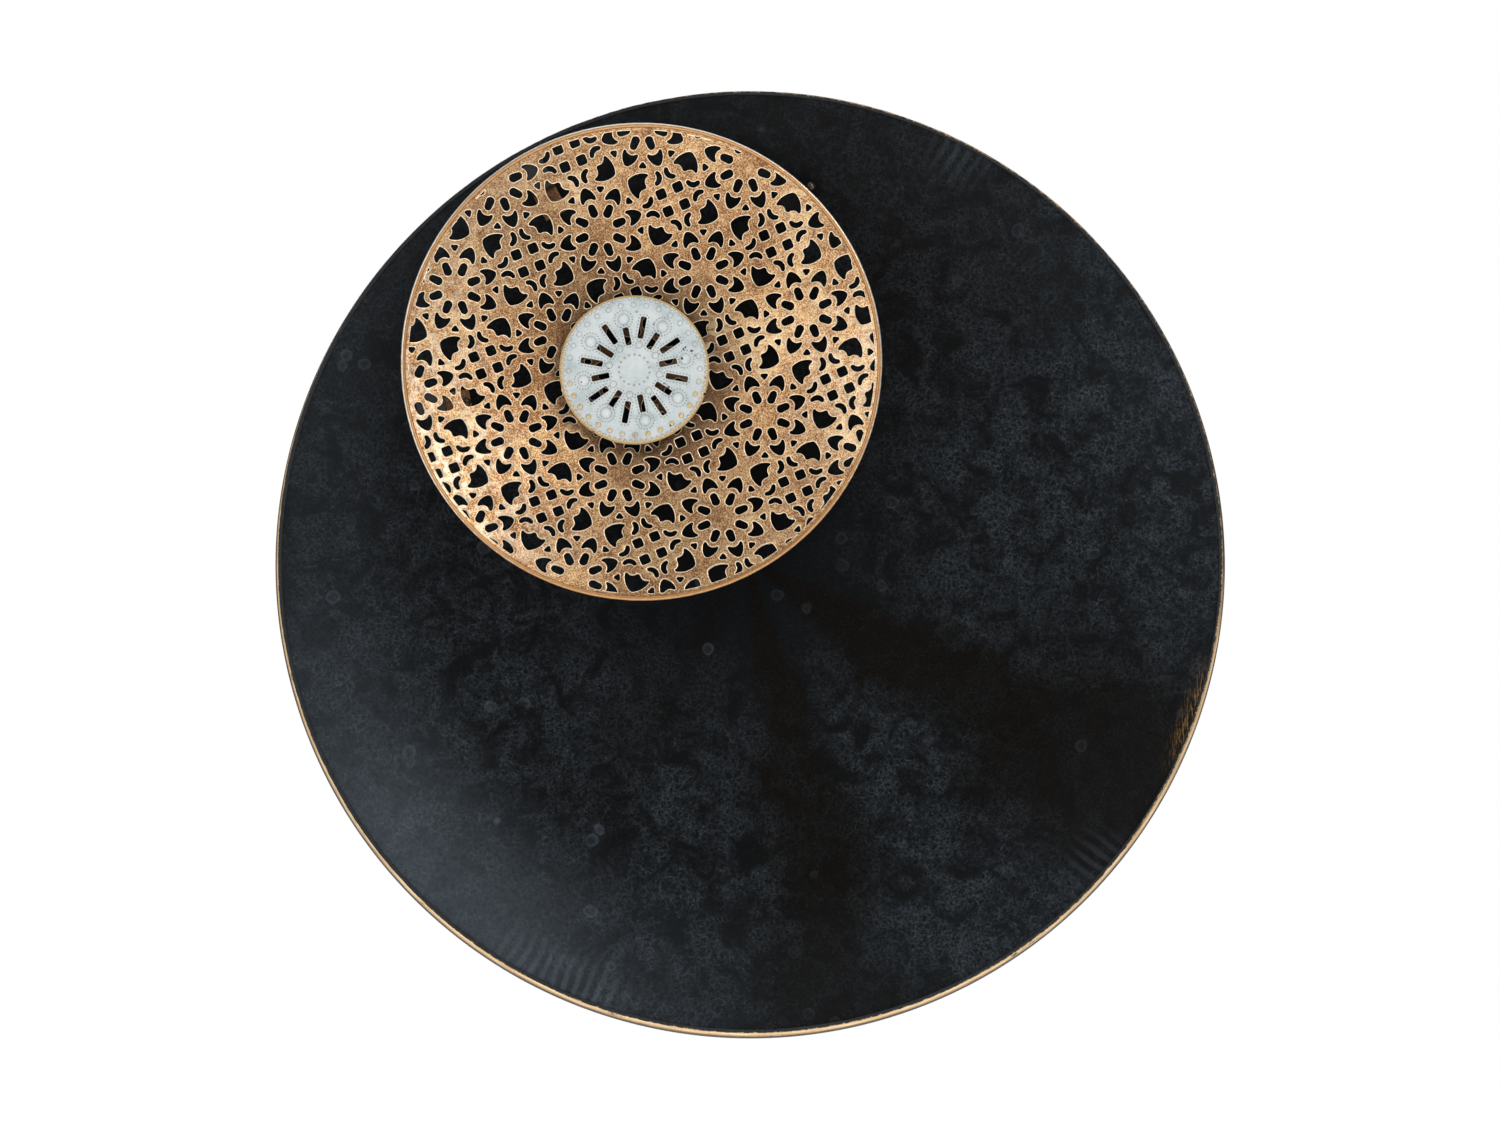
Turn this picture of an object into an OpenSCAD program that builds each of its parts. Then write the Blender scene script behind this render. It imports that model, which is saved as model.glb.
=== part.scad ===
// Round wall relief of three metal plates: a large shallow back dish with a
// turned rim band, a pierced bowl held in front of it, and a small embossed boss.
// Millimetres. +Z is up, -Y faces the room, the wall is the plane y = 0, and the
// origin is the point where the wall hook carries the hanging ring.

/* [Back dish] */
// Outer diameter of the rim band at the wall side
dish_d = 620; // [520:1:760]
// Height of the rim band from its hem to the edge of the dish
band_h = 25; // [22:0.5:40]
// Growth of the band's radius from its front edge to its hem
band_flare = 4; // [1:0.5:10]
// Sheet thickness of the rim band
band_t = 1.2; // [0.8:0.1:2]
// Width of the front lip that is turned over the edge of the dish
lip_w = 2.4; // [1.6:0.1:4]
// Thickness of that lip
lip_t = 0.8; // [0.5:0.1:1.5]
// Width of the hem that is turned in at the wall side
hem_w = 14; // [13:0.5:24]
// Depth of the dish's hollow at its middle
dish_sag = 17; // [8:0.5:19]
// Sheet thickness of the dish
dish_t = 1.2; // [0.8:0.1:2]

/* [Pierced bowl] */
// Outer diameter of the bowl over its rim wire
bowl_d = 310; // [240:1:380]
// Depth of the bowl's hollow
bowl_sag = 30; // [16:0.5:45]
// Sheet thickness of the bowl
bowl_t = 1.2; // [0.8:0.1:2]
// Diameter of the wire round the bowl's rim
bowl_wire_d = 3; // [2:0.1:5]
// Direction of the bowl's middle from the dish's middle, from the right towards up
bowl_angle = 119.3; // [90:0.1:150]
// Distance from the bowl's rim to the dish's edge where they come nearest
bowl_edge_gap = 7.1; // [3:0.1:20]
// Room between the dish and the bottom of the bowl
bowl_gap = 8; // [6:0.5:20]

/* [Pierced pattern] */
// Distance from one rosette to the next
pitch = 72; // [66:0.1:90]
// Turn of the pattern, clockwise as seen from the room
pattern_turn = 22.1; // [0:0.1:90]
// Place of one rosette to the right of the bowl's middle
rosette_right = 39.7; // [-40:0.1:40]
// Place of the same rosette above the bowl's middle
rosette_up = 60.6; // [-60:0.1:60]
// Plain border between the bowl's edge and its holes
bowl_border = 1.6; // [1:0.1:8]

/* [Boss] */
// Diameter of the embossed boss
boss_d = 97; // [80:1:130]
// Thickness of the boss
boss_t = 2; // [1.5:0.1:3]
// Height of the boss's back above the bottom of the bowl
boss_gap = 13; // [8:0.5:16]
// Shift of the boss and its stud to the right of the bowl's middle
boss_right = -5; // [-10:0.5:10]
// Shift of the boss and its stud above the bowl's middle
boss_up = -4; // [-10:0.5:10]
// Width of the boss's slots
slot_w = 3.4; // [2:0.1:4]
// Turn of the boss, clockwise as seen from the room
boss_turn = 10.4; // [0:0.1:45]

/* [Middle fixing] */
// Thread diameter of the boss's stud
stud_d = 5; // [4:0.5:6]
// Clearance all round the stud in the holes that it passes
stud_play = 0.25; // [0.15:0.05:0.5]
// Outer diameter of the spacer tubes
spacer_d = 12; // [10:0.5:16]
// Across-flats width of the stud's nuts
stud_nut_af = 8; // [7:0.5:10]
// Height of the stud's nuts
stud_nut_h = 3.2; // [2.5:0.1:4]

/* [Legs] */
// Width of the three strap legs
leg_w = 16; // [12:0.5:24]
// Thickness of the legs
leg_t = 2; // [1.5:0.1:2.5]
// Length of the pads at both ends of a leg
leg_pad = 18; // [14:0.5:24]
// Distance of the outward foot's screw outside the bowl's rim
foot_outside = 6.5; // [5:0.5:10]
// Distance of the inward feet's screws inside the bowl's rim
foot_inside = 38; // [34:0.5:50]
// Angle between neighbouring legs
leg_step = 72; // [60:1:90]
// Thread diameter of the leg screws
screw_d = 3; // [2.5:0.5:4]
// Clearance all round the screws in their holes
screw_play = 0.2; // [0.1:0.05:0.4]

/* [Hanger] */
// Room between the boss's stud and the crossbar above it
bar_clear = 31; // [20:1:50]
// Width of the crossbar
bar_w = 25; // [20:0.5:30]
// Thickness of the crossbar
bar_t = 3; // [2:0.1:4]
// Shift of the hanger to the right of the dish's middle, above the centre of mass
hanger_right = -13; // [-20:0.5:20]
// Wire diameter of the hanging ring
ring_wire_d = 3; // [2.5:0.1:4]
// Inner width of the hanging ring
ring_w = 19; // [16:0.5:24]
// Inner height of the hanging ring above its pin
ring_h = 14; // [12:0.5:20]
// Radial clearance of the ring's pin in the strap's eye
ring_play = 0.08; // [0.05:0.01:0.1]
// Thickness of the hanger strap
strap_t = 1.5; // [1:0.1:2]
// Distance from the crossbar's top edge to the ring's pin
pin_rise = 12; // [10:0.5:16]
// Diameter of the rivets
rivet_d = 4; // [3:0.5:5]

/* [Wall pads] */
// Diameter of the wall pads
pad_d = 12; // [8:0.5:13]
// Thickness of the wall pads
pad_t = 3; // [2:0.5:5]

/* [Hidden] */
$fn = 96;
seam = 0.1;
over = 1;

// Middles of the plates, as [right, up] in the wall's plane
bowl_shift = (dish_d / 2 - band_flare - bowl_edge_gap - bowl_d / 2) * [cos(bowl_angle), sin(bowl_angle)];
bar_up = bowl_shift.y + boss_up + bar_clear + bar_w / 2;
dish_c = [-hanger_right, -(bar_up + bar_w / 2 + pin_rise + ring_h)];
bowl_c = dish_c + bowl_shift;
boss_c = bowl_c + [boss_right, boss_up];

// Heights are distances in front of the wall
rim_z = pad_t + band_h;
hem_z = pad_t + band_t;
band_front_r = dish_d / 2 - band_flare;
dish_edge_r = band_front_r - band_t - seam;
dish_r = (dish_edge_r * dish_edge_r + dish_sag * dish_sag) / (2 * dish_sag);
dish_ball_z = rim_z - seam - dish_sag + dish_r;
bowl_edge_r = bowl_d / 2 - bowl_wire_d - seam;
bowl_r = (bowl_edge_r * bowl_edge_r + bowl_sag * bowl_sag) / (2 * bowl_sag);
bowl_bottom_z = dish_z(bowl_c) + bowl_gap + bowl_t;
bowl_ball_z = bowl_bottom_z + bowl_r;
bowl_rim_z = bowl_bottom_z + bowl_sag;
boss_back_z = bowl_z(boss_c) + boss_gap;
stud_hole_d = stud_d + 2 * stud_play;
stud_washer_d = 2 * stud_d;
washer_t = 1;
screw_hole_d = screw_d + 2 * screw_play;
screw_head_d = 2 * screw_d;
screw_head_h = 0.75 * screw_d;
screw_washer_d = 2.3 * screw_d;
screw_washer_t = 0.5;
screw_nut_af = 1.83 * screw_d;
screw_nut_h = 0.8 * screw_d;
foot_end = screw_head_d / 2 + 0.2;
rivet_head_d = 1.6 * rivet_d;
rivet_head_h = 1.2;
eye_r = ring_wire_d / 2 + ring_play;
pin_z = hem_z + eye_r;
pin_c = [0, -ring_h];
strap_w = ring_w - 5;
strap_down = bar_w - 3;
ring_bend_r = ring_w / 2 + ring_wire_d / 2;

// Height of the dish's front face over a point of the wall's plane
function dish_z(p) = dish_ball_z - sqrt(dish_r * dish_r - (p - dish_c) * (p - dish_c));
// Height of the bowl's front face over a point of the wall's plane
function bowl_z(p) = bowl_ball_z - sqrt(bowl_r * bowl_r - (p - bowl_c) * (p - bowl_c));
// A point at a distance from a middle, at an angle counted from the right towards up
function polar(c, r, a) = c + r * [cos(a), sin(a)];
function arc(c, r, from, to, steps) =
    [for (i = [0:steps]) polar(c, r, from + (to - from) * i / steps)];
function mirrored(p) = [p.x, -p.y];

// The legs stand round the line from the dish's middle through the bowl's
leg_angle = [bowl_angle - leg_step, bowl_angle, bowl_angle + leg_step];
leg_foot_r = [bowl_d / 2 + foot_outside, bowl_d / 2 - foot_inside, bowl_d / 2 - foot_inside];
function foot(i) = polar(bowl_c, leg_foot_r[i], leg_angle[i]);

// Stands the wall's plane up: right stays +X, up becomes +Z, in front becomes -Y
module stand_up() { rotate([90, 0, 0]) children(); }

module over_point(p, z) { translate([p.x, p.y, z]) children(); }

// Puts children on the dish's front face, with their Z along its normal
module on_dish(p) {
    d = p - dish_c;
    over_point(p, dish_z(p)) rotate([0, -asin(norm(d) / dish_r), atan2(d.y, d.x)]) children();
}

module dish_ball(grow) { over_point(dish_c, dish_ball_z) sphere(r = dish_r + grow, $fn = 360); }

module bowl_ball(grow) { over_point(bowl_c, bowl_ball_z) sphere(r = bowl_r + grow, $fn = 240); }

module tube(d, hole_d, h) {
    difference() {
        cylinder(d = d, h = h);
        translate([0, 0, -over]) cylinder(d = hole_d, h = h + 2 * over);
    }
}

module dome(d, h) {
    ball_r = (d * d / 4 + h * h) / (2 * h);
    intersection() {
        translate([0, 0, h - ball_r]) sphere(r = ball_r);
        cylinder(d = 2 * d, h = 2 * h);
    }
}

module hexagon(af, h) { cylinder(d = af / cos(30), h = h, $fn = 6); }

// ---- back dish and rim band ----

module back_dish() color([0.06, 0.065, 0.08]) stand_up() difference() {
    intersection() {
        difference() {
            dish_ball(dish_t);
            dish_ball(0);
        }
        over_point(dish_c, 0) cylinder(r = dish_edge_r, h = rim_z, $fn = 360);
    }
    over_point(boss_c, 0) cylinder(d = stud_hole_d, h = rim_z);
    for (i = [0:2]) on_dish(foot(i)) translate([0, 0, -dish_t - over])
        cylinder(d = screw_hole_d, h = dish_t + 2 * over);
}

module rim_band() color([0.62, 0.47, 0.22]) stand_up() difference() {
    over_point(dish_c, 0) rotate_extrude($fn = 360) polygon([
        [dish_d / 2, pad_t],
        [band_front_r, rim_z + lip_t],
        [band_front_r - lip_w, rim_z + lip_t],
        [band_front_r - lip_w, rim_z],
        [band_front_r - band_t, rim_z],
        [dish_d / 2 - band_t, hem_z],
        [dish_d / 2 - hem_w, hem_z],
        [dish_d / 2 - hem_w, pad_t]
    ]);
    for (side = [-1, 1]) over_point(bar_rivet(side), 0) cylinder(d = rivet_d, h = rim_z / 2);
}

// ---- pierced bowl ----

module petal() {
    polygon(concat(arc([11.4, 0], 2.4, 110, 250, 2), arc([15.2, 0], 2, -70, 70, 2)));
}

module crescent() {
    side = arc([20, -5.2], 10.1, 96, 31, 2);
    polygon([side[0], side[1], side[2], mirrored(side[1]), mirrored(side[0]), [21.1, 0]]);
}

module diamond() { translate([8.25, 0]) rotate(45) square(5.6, center = true); }

module shield() {
    side = arc([19.1, -5], 13.3, 21.3, 83.5, 2);
    lobe = [21.6, 4.8];
    polygon([side[0], side[1], side[2], lobe, [18.9, 0],
        mirrored(lobe), mirrored(side[2]), mirrored(side[1])]);
}

module rosette() {
    for (k = [0:7]) rotate(45 * k) {
        petal();
        crescent();
    }
}

module cell() {
    for (k = [0:3]) rotate(90 * k) {
        diamond();
        shield();
    }
}

module pattern(reach) {
    first = [rosette_right, rosette_up];
    span = ceil((reach + norm(first)) / pitch);
    c = cos(pattern_turn);
    s = sin(pattern_turn);
    for (i = [-span:span], j = [-span:span]) {
        at = first + pitch * [i * c + j * s, -i * s + j * c];
        middle = at + pitch / 2 * [c + s, -s + c];
        if (norm(at) < reach + 28) translate(at) rotate(-pattern_turn) rosette();
        if (norm(middle) < reach + 31) translate(middle) rotate(-pattern_turn) cell();
    }
}

module pierced_bowl() color([0.66, 0.47, 0.30]) stand_up() difference() {
    intersection() {
        difference() {
            bowl_ball(bowl_t);
            bowl_ball(0);
        }
        over_point(bowl_c, 0) linear_extrude(bowl_rim_z) difference() {
            circle(r = bowl_edge_r, $fn = 360);
            intersection() {
                circle(r = bowl_edge_r - bowl_border, $fn = 360);
                pattern(bowl_edge_r);
            }
        }
    }
    over_point(boss_c, 0) cylinder(d = stud_hole_d, h = rim_z + bowl_gap);
}

module bowl_rim_wire() color([0.75, 0.70, 0.64]) stand_up() over_point(bowl_c, bowl_rim_z)
    rotate_extrude($fn = 240) translate([bowl_edge_r + seam + bowl_wire_d / 2, 0])
        circle(d = bowl_wire_d, $fn = 32);

// ---- boss ----

slot_long = 14;
slot_short = 11.2;
slot_long_r = 28;
slot_short_r = 22.3;
big_dome_r = 33.6;
small_dome_r = 16.5;
bead_r = 42.5;

module ring_of(count, r, turn = 0) {
    for (i = [0:count - 1]) rotate(turn + 360 / count * i) translate([r, 0]) children();
}

module boss_disc() color([0.86, 0.89, 0.90]) stand_up() over_point(boss_c, boss_back_z)
    rotate(-boss_turn) {
        linear_extrude(boss_t) difference() {
            circle(d = boss_d);
            ring_of(8, slot_long_r) square([slot_long, slot_w], center = true);
            ring_of(8, slot_short_r, 22.5) square([slot_short, slot_w], center = true);
        }
        translate([0, 0, boss_t]) {
            ring_of(8, big_dome_r, 22.5) dome(7.4, 2);
            ring_of(8, small_dome_r) dome(4.5, 1.2);
            ring_of(32, bead_r) dome(3.4, 1.2);
        }
    }

// ---- middle fixing ----

// The dish slopes a little where the stud passes it, so flat ends touch it on one side
dish_slope = norm(boss_c - dish_c) / dish_r;
spacer_foot_z = dish_z(boss_c) + dish_slope * spacer_d / 2;
dish_back_z = dish_z(boss_c) - dish_t - dish_slope * stud_washer_d / 2;
stud_end_z = dish_back_z - washer_t - stud_nut_h - 1.5;
boss_washer_d = 1.25 * spacer_d;
boss_washer_z = bowl_z(bowl_c + [norm(boss_c - bowl_c) + boss_washer_d / 2, 0]);

module boss_stud() color("silver") stand_up() over_point(boss_c, stud_end_z)
    cylinder(d = stud_d, h = boss_back_z - stud_end_z);

module boss_spacer() color("silver") stand_up() over_point(boss_c, boss_washer_z + washer_t)
    tube(spacer_d, stud_hole_d, boss_back_z - boss_washer_z - washer_t);

module boss_washer() color("silver") stand_up() over_point(boss_c, boss_washer_z)
    tube(boss_washer_d, stud_hole_d, washer_t);

module bowl_spacer() color([0.30, 0.24, 0.18]) stand_up() over_point(boss_c, spacer_foot_z)
    tube(spacer_d, stud_hole_d, bowl_bottom_z - bowl_t - spacer_foot_z);

module stud_washer() color("silver") stand_up() over_point(boss_c, dish_back_z - washer_t)
    tube(stud_washer_d, stud_hole_d, washer_t);

module stud_nut() color("silver") stand_up() over_point(boss_c, dish_back_z - washer_t - stud_nut_h)
    difference() {
        hexagon(stud_nut_af, stud_nut_h);
        translate([0, 0, -over]) cylinder(d = stud_d, h = stud_nut_h + 2 * over);
    }

// ---- legs and their screws ----

// A strap leg: a foot with a screw on the dish, an upright strap and a pad under the bowl
module leg(i) {
    outward = leg_foot_r[i] > bowl_edge_r;
    toe = leg_foot_r[i] + (outward ? foot_end : -foot_end);
    strap = outward ? toe - leg_pad : toe + leg_pad - leg_t;
    pad = outward ? strap + leg_t - leg_pad : strap;
    color([0.55, 0.36, 0.22]) stand_up() difference() {
        union() {
            intersection() {
                bowl_ball(bowl_t + seam + leg_t);
                strip(i, pad, leg_pad);
            }
            difference() {
                intersection() {
                    dish_ball(-seam);
                    strip(i, outward ? strap : toe, leg_pad);
                }
                dish_ball(-seam - leg_t);
            }
            intersection() {
                dish_ball(-seam);
                strip(i, strap, leg_t);
            }
        }
        bowl_ball(bowl_t + seam);
        on_dish(foot(i)) cylinder(d = screw_hole_d, h = 2 * leg_t + 2 * over, center = true);
    }
}

// The space over a strip of a leg's strap, from a distance from the bowl's middle
module strip(i, from, length) {
    over_point(bowl_c, 0) rotate(leg_angle[i]) translate([from, -leg_w / 2, 0])
        cube([length, leg_w, bowl_rim_z]);
}

module leg_screw(i) color([0.22, 0.19, 0.16]) stand_up() on_dish(foot(i)) {
    translate([0, 0, leg_t + 2 * seam]) dome(screw_head_d, screw_head_h);
    shank = leg_t + dish_t + screw_washer_t + screw_nut_h + 1;
    translate([0, 0, leg_t + 2 * seam - shank]) cylinder(d = screw_d, h = shank);
}

module leg_washer(i) color("silver") stand_up() on_dish(foot(i))
    translate([0, 0, -dish_t - seam - screw_washer_t])
        tube(screw_washer_d, screw_hole_d, screw_washer_t);

module leg_nut(i) color("silver") stand_up() on_dish(foot(i))
    translate([0, 0, -dish_t - 2 * seam - screw_washer_t - screw_nut_h]) difference() {
        hexagon(screw_nut_af, screw_nut_h);
        translate([0, 0, -over]) cylinder(d = screw_d, h = screw_nut_h + 2 * over);
    }

module leg_upper_right() leg(0);
module leg_upper_left() leg(1);
module leg_left() leg(2);
module screw_upper_right() leg_screw(0);
module screw_upper_left() leg_screw(1);
module screw_left() leg_screw(2);
module washer_upper_right() leg_washer(0);
module washer_upper_left() leg_washer(1);
module washer_left() leg_washer(2);
module nut_upper_right() leg_nut(0);
module nut_upper_left() leg_nut(1);
module nut_left() leg_nut(2);

// ---- hanger ----

hem_mid_r = dish_d / 2 - hem_w / 2;
bar_rivet_x = sqrt(hem_mid_r * hem_mid_r - bar_up * bar_up);
bar_c = dish_c + [0, bar_up];
hanger_rivet_up = [pin_c.y - pin_rise - 6, pin_c.y - pin_rise - strap_down + 6];

function bar_rivet(side) = bar_c + [side * bar_rivet_x, 0];

module rivet(p, low, high) {
    over_point(p, low) cylinder(d = rivet_d, h = high - low);
    over_point(p, high) dome(rivet_head_d, rivet_head_h);
    over_point(p, low) mirror([0, 0, 1]) dome(rivet_head_d, rivet_head_h);
}

module crossbar() color([0.16, 0.16, 0.17]) stand_up() difference() {
    intersection() {
        over_point(bar_c, hem_z) translate([-dish_d / 2, -bar_w / 2, 0]) cube([dish_d, bar_w, bar_t]);
        over_point(dish_c, 0) cylinder(r = dish_d / 2 - band_t - 1.5, h = rim_z, $fn = 360);
    }
    for (side = [-1, 1]) over_point(bar_rivet(side), 0) cylinder(d = rivet_d, h = rim_z);
    for (up = hanger_rivet_up) over_point([0, up], 0) cylinder(d = rivet_d, h = rim_z);
}

module crossbar_rivet(side) color("silver") stand_up() rivet(bar_rivet(side), pad_t, hem_z + bar_t);

module crossbar_rivet_left() crossbar_rivet(-1);
module crossbar_rivet_right() crossbar_rivet(1);

// A strap on the wall side of the crossbar, rolled into an eye round the ring's pin
module hanger_strap() color([0.62, 0.60, 0.55]) stand_up() difference() {
    union() {
        translate([-strap_w / 2, pin_c.y - pin_rise - strap_down, hem_z - strap_t])
            cube([strap_w, strap_down + pin_rise, strap_t]);
        translate([-strap_w / 2, pin_c.y, pin_z]) rotate([0, 90, 0])
            cylinder(r = eye_r + strap_t, h = strap_w);
    }
    translate([-strap_w / 2 - over, pin_c.y, pin_z]) rotate([0, 90, 0])
        cylinder(r = eye_r, h = strap_w + 2 * over);
    for (up = hanger_rivet_up) over_point([0, up], 0) cylinder(d = rivet_d, h = rim_z);
}

module hanger_rivet(up) color("silver") stand_up() rivet([0, up], hem_z - strap_t, hem_z + bar_t);

module hanger_rivet_upper() hanger_rivet(hanger_rivet_up[0]);
module hanger_rivet_lower() hanger_rivet(hanger_rivet_up[1]);

// A closed D of round wire: a pin, two short sides and a half-round top
module hanging_ring() color("silver") stand_up() over_point(pin_c, pin_z) {
    side_h = ring_h - ring_w / 2;
    translate([-ring_bend_r, 0, 0]) rotate([0, 90, 0]) cylinder(d = ring_wire_d, h = 2 * ring_bend_r);
    for (side = [-1, 1]) translate([side * ring_bend_r, 0, 0]) {
        sphere(d = ring_wire_d);
        rotate([-90, 0, 0]) cylinder(d = ring_wire_d, h = side_h);
    }
    translate([0, side_h, 0]) rotate_extrude(angle = 180)
        translate([ring_bend_r, 0]) circle(d = ring_wire_d, $fn = 32);
}

// ---- wall pads ----

module pad(a) color([0.08, 0.08, 0.08]) stand_up() over_point(polar(dish_c, hem_mid_r, a), 0)
    cylinder(d = pad_d, h = pad_t);

module pad_upper_right() pad(50);
module pad_upper_left() pad(130);
module pad_lower_left() pad(225);
module pad_lower_right() pad(315);

back_dish();
rim_band();
pierced_bowl();
bowl_rim_wire();
boss_disc();
boss_stud();
boss_spacer();
boss_washer();
bowl_spacer();
stud_washer();
stud_nut();
leg_upper_right();
leg_upper_left();
leg_left();
screw_upper_right();
screw_upper_left();
screw_left();
washer_upper_right();
washer_upper_left();
washer_left();
nut_upper_right();
nut_upper_left();
nut_left();
crossbar();
crossbar_rivet_left();
crossbar_rivet_right();
hanger_strap();
hanger_rivet_upper();
hanger_rivet_lower();
hanging_ring();
pad_upper_right();
pad_upper_left();
pad_lower_left();
pad_lower_right();
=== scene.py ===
import math

import bpy
import numpy as np
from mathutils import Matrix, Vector
from mathutils.geometry import delaunay_2d_cdt
from mathutils.kdtree import KDTree


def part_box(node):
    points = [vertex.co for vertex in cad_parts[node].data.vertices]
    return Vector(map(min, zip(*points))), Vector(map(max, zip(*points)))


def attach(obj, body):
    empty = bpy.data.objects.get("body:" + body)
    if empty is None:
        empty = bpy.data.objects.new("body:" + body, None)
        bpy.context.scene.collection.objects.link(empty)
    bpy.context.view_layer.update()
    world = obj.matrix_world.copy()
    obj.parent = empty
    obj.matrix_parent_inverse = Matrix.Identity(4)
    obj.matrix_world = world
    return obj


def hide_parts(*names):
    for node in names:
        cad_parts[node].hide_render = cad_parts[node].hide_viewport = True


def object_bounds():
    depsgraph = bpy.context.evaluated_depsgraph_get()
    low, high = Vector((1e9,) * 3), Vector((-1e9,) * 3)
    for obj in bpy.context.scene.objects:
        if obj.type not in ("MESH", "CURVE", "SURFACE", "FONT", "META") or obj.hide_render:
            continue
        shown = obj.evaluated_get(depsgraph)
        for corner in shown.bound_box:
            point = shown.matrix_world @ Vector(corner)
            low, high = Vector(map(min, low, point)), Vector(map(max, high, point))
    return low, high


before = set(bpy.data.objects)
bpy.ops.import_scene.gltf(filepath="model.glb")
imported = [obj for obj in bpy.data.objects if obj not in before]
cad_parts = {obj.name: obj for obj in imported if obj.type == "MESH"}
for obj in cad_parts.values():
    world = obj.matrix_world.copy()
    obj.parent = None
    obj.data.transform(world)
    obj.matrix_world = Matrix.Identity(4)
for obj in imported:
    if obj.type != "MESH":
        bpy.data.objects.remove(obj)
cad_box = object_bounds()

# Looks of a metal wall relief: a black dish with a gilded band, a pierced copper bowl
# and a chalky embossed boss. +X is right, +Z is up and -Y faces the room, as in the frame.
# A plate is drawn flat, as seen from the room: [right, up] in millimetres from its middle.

MM = 0.001
SHEET = 1.2
BOSS_T = 2.0
TINY = 1e-9
# A flat plate is taken as part of a sphere of this radius
FLAT_BALL = 1e9
STUD_HOLE_R = 2.75
SCREW_HOLE_R = 1.7


class Plate:
    """A round plate's middle, edge and hollow in millimetres, from its CAD node's box."""

    def __init__(self, node, thickness, hollow=True):
        low, high = (np.array(corner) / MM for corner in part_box(node))
        self.middle = (low + high)[[0, 2]] / 2
        self.edge = (high - low)[0] / 2
        self.thickness = thickness
        self.bottom = thickness - high[1]
        sag = high[1] - low[1] - thickness
        self.ball = (self.edge**2 + sag**2) / (2 * sag) if hollow else FLAT_BALL

    def height(self, points):
        """Distance of the front face from the wall over points of the plate."""
        reach = (points**2).sum(axis=1)
        return self.bottom + reach / (self.ball + np.sqrt(self.ball**2 - reach))


dish = Plate("back_dish", SHEET)
bowl = Plate("pierced_bowl", SHEET)
boss = Plate("boss_disc", BOSS_T, hollow=False)
stud = np.array(sum(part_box("boss_stud"), Vector()) / 2 / MM)[[0, 2]]
screws = [np.array(sum(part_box(f"screw_{place}"), Vector()) / 2 / MM)[[0, 2]]
          for place in ("upper_right", "upper_left", "left")]


# ---- flat outlines ----

def arc(middle, radius, start, end, spacing=0.4):
    """Points along an arc between two angles in degrees."""
    steps = max(2, round(abs(math.radians(end - start)) * radius / spacing))
    angles = np.radians(np.linspace(start, end, steps + 1))
    return np.array(middle) + radius * np.column_stack([np.cos(angles), np.sin(angles)])


def mirrored(loop):
    """The outline mirrored in its own axis, still turning to the left."""
    return (loop * [1, -1])[::-1]


def turned(loop, degrees):
    """The outline turned to the left round the origin."""
    c, s = math.cos(math.radians(degrees)), math.sin(math.radians(degrees))
    return loop @ np.array([[c, s], [-s, c]])


def evened(corners, spacing=0.5, rounding=2, swell=0.0):
    """The closed outline with evenly spaced points, corners rounded by averaging, and swollen."""
    closed = np.vstack([corners, corners[:1]])
    along = np.concatenate([[0], np.cumsum(np.linalg.norm(np.diff(closed, axis=0), axis=1))])
    at = np.linspace(0, along[-1], max(8, round(along[-1] / spacing)), endpoint=False)
    loop = np.column_stack([np.interp(at, along, closed[:, k]) for k in (0, 1)])
    for _ in range(rounding):
        loop = (np.roll(loop, 1, axis=0) + 2 * loop + np.roll(loop, -1, axis=0)) / 4
    return grown(loop, swell)


def grown(loop, distance):
    """The outline moved outwards along its normals."""
    along = np.roll(loop, -1, axis=0) - np.roll(loop, 1, axis=0)
    length = np.linalg.norm(along, axis=1, keepdims=True) + TINY
    return loop + distance * np.column_stack([along[:, 1], -along[:, 0]]) / length


def area(loop):
    """Area inside an outline that turns to the left."""
    ahead = np.roll(loop, -1, axis=0)
    return ((loop[:, 0] * ahead[:, 1] - ahead[:, 0] * loop[:, 1]).sum()) / 2


def inside_any(points, loops):
    """Whether each point lies inside one of the outlines."""
    found = np.zeros(len(points), dtype=bool)
    order = np.argsort(points[:, 0])
    sorted_x = points[order, 0]
    for loop in loops:
        first, last = np.searchsorted(sorted_x, [loop[:, 0].min(), loop[:, 0].max()])
        near = order[first:last]
        near = near[(points[near, 1] > loop[:, 1].min()) & (points[near, 1] < loop[:, 1].max())]
        x, z = points[near, 0][:, None], points[near, 1][:, None]
        a, b = loop, np.roll(loop, -1, axis=0)
        spans = (a[:, 1] > z) != (b[:, 1] > z)
        rise = np.where(b[:, 1] == a[:, 1], TINY, b[:, 1] - a[:, 1])
        crossing = a[:, 0] + (z - a[:, 1]) * (b[:, 0] - a[:, 0]) / rise
        found[near] |= (spans & (x < crossing)).sum(axis=1) % 2 == 1
    return found


def circle(radius, middle=(0, 0), spacing=1.0):
    count = max(8, round(2 * math.pi * radius / spacing))
    angles = np.linspace(0, 2 * math.pi, count, endpoint=False)
    return np.array(middle) + radius * np.column_stack([np.cos(angles), np.sin(angles)])


def honeycomb(radius, spacing):
    """Evenly spread points inside a circle."""
    rows = np.arange(-radius, radius, spacing * math.sqrt(0.75))
    columns = np.arange(-radius, radius, spacing)
    grid = np.array([(x + spacing / 2 * (k % 2), z) for k, z in enumerate(rows) for x in columns])
    return grid[np.linalg.norm(grid, axis=1) < radius]


# ---- meshes ----

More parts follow.
